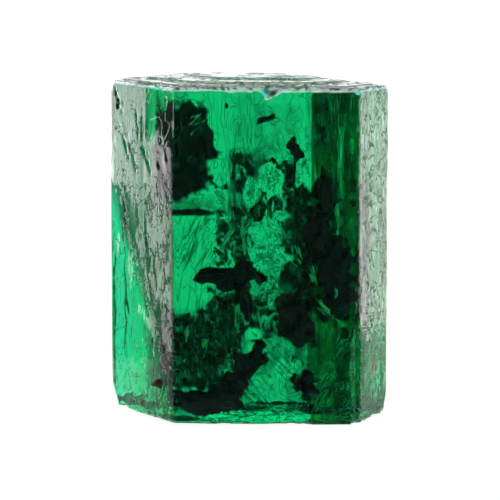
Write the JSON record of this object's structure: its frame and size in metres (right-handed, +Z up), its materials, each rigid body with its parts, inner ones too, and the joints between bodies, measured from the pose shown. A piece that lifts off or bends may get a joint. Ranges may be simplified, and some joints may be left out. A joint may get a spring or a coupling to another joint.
{
  "type": "emerald crystal",
  "caption": "Rough deep green gem crystal: a stout clear six-sided prism that stands upright on its broken base, with etched faces, a flat top and dark inclusions inside",
  "frame": {"origin": "bottom centre of the crystal's bounding box, on the plane it stands on", "axes": "+Z up the prism, towards its flat top face; +X to the right along the wide clear face; -Y is the side of the wide clear face; +Y towards the back"},
  "size_m": [0.0104, 0.0074, 0.0126],
  "materials": {
    "emerald": "polished",
    "black_inclusion": "matte",
    "crack_veil": "gloss"
  },
  "bodies": {
    "root": {"emerald_crystal": "emerald"}
  },
  "joints": []
}
